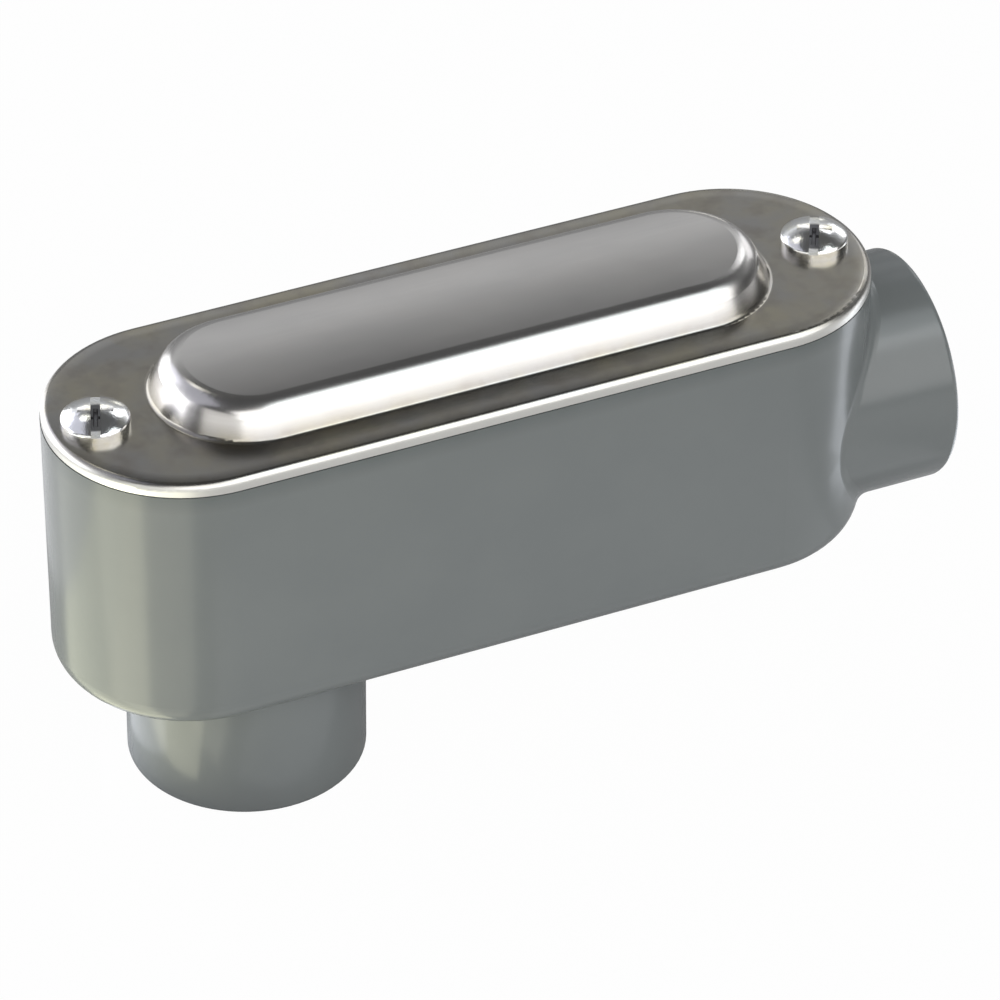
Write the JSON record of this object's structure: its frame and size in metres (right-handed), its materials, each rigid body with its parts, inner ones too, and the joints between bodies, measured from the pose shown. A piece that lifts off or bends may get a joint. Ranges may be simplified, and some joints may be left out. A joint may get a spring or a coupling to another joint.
{
  "type": "conduit body",
  "caption": "Right-angle threaded conduit body with a long wiring chamber, a screwed cover with raised panel, a gasket, and threaded hubs in the end and the back.",
  "frame": {"origin": "centre of the back hub's mouth, on the hub's axis", "axes": "+Z along the back hub's axis, from its mouth to the cover; +X from the back hub towards the end hub, along the body; +Y across the body"},
  "size_m": [0.1293, 0.039, 0.0655],
  "materials": {
    "painted_casting": "satin",
    "brushed_cover": "satin",
    "gasket_rubber": "matte",
    "plated_screw": "polished"
  },
  "bodies": {
    "housing": {"housing": "painted_casting"},
    "cover": {"cover": "brushed_cover", "gasket": "gasket_rubber"},
    "left_screw": {"left_cover_screw": "plated_screw"},
    "right_screw": {"right_cover_screw": "plated_screw"}
  },
  "joints": [
    {"name": "cover_lift", "type": "slide", "parent": "housing", "child": "cover", "axis": [0, 0, 1], "range_m": [0, 0.01032]},
    {"name": "left_screw_turn", "type": "hinge", "parent": "cover", "child": "left_screw", "pos_m": [-0.0207, 0, 0.0602], "axis": [0, 0, 1], "range_deg": [0, 4681]},
    {"name": "right_screw_turn", "type": "hinge", "parent": "cover", "child": "right_screw", "pos_m": [0.0863, 0, 0.0602], "axis": [0, 0, 1], "range_deg": [0, 4681]}
  ],
  "couplings": [
    {"joint": "left_screw_turn", "follows": "cover_lift", "rad_per_m": 7915.8},
    {"joint": "right_screw_turn", "follows": "cover_lift", "rad_per_m": 7915.8}
  ]
}
